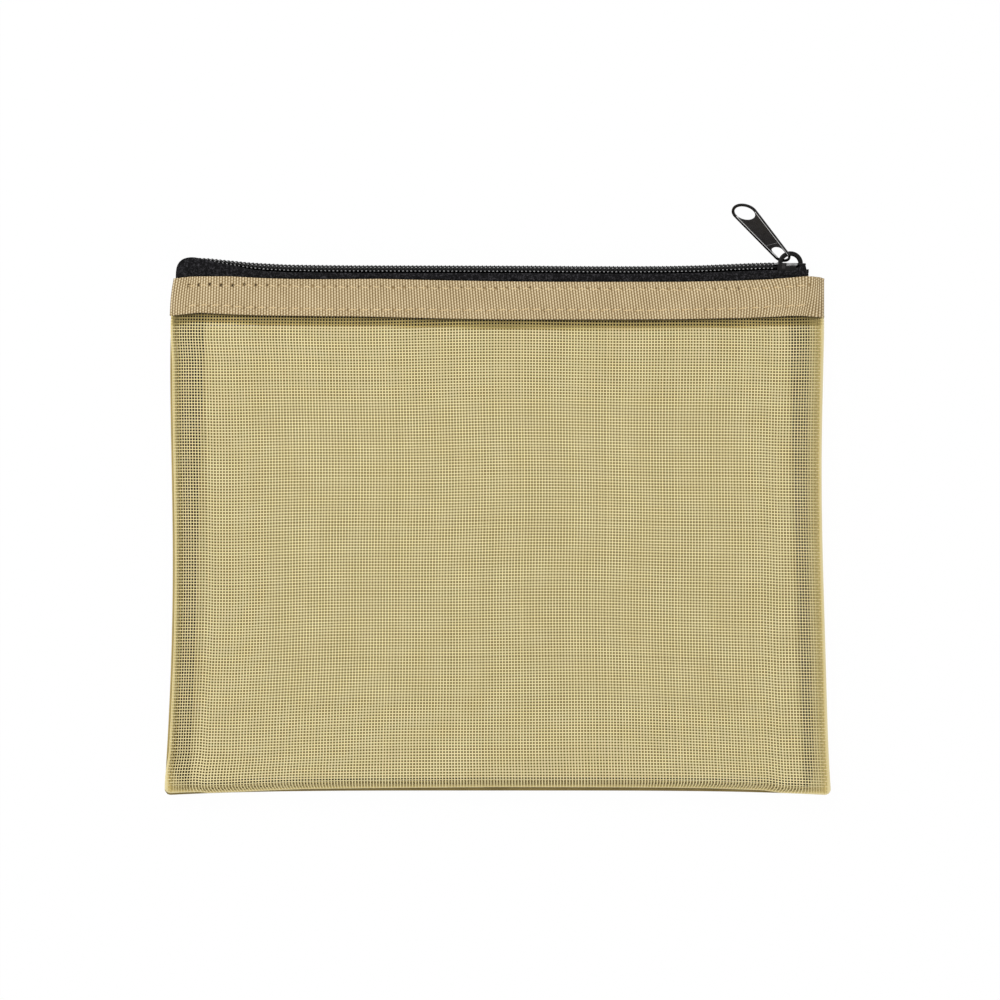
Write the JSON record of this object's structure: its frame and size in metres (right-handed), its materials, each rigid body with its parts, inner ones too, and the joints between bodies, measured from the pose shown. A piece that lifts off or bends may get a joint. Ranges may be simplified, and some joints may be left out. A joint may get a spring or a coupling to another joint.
{
  "type": "document wallet",
  "caption": "Flat zipped mesh pouch for A5 papers: woven mesh panels in a turned seam, ribbed bindings along the top, a coil zip with slider and pull, and a folded filler card.",
  "frame": {"origin": "middle of the back panel's flat face, which the wallet lies on", "axes": "+X along the zip towards its closed end, +Y from the bottom seam to the zip, +Z out of the front panel"},
  "size_m": [0.2332, 0.2068, 0.0244],
  "materials": {
    "mesh": "open plain weave",
    "binding": "ribbed tape",
    "zip_tape": "woven tape",
    "coil": "satin",
    "slider_metal": "gloss",
    "thread": "spun thread",
    "card": "uncoated card"
  },
  "bodies": {
    "wallet": {"front_panel": "mesh", "back_panel": "mesh", "front_binding": "binding", "back_binding": "binding", "front_zip_tape": "zip_tape", "back_zip_tape": "zip_tape", "front_upper_stitch": "thread", "back_upper_stitch": "thread", "front_lower_stitch": "thread", "back_lower_stitch": "thread", "front_seam_thread": "thread", "back_seam_thread": "thread", "front_coil": "coil", "back_coil": "coil", "top_stops": "slider_metal", "filler_card": "card"},
    "slider": {"slider_body": "slider_metal", "slider_bail": "slider_metal"},
    "pull": {"pull_tab": "slider_metal"}
  },
  "joints": [
    {"name": "slider_slide", "type": "slide", "parent": "wallet", "child": "slider", "axis": [-0.9999, 0.0105, 0], "range_m": [0, 0.2], "deforming": ["front_coil", "back_coil"]},
    {"name": "pull_swing", "type": "hinge", "parent": "slider", "child": "pull", "pos_m": [0.10322, 0.0961, 0.006], "axis": [0, 0, 1], "range_deg": [-70, 2]}
  ]
}
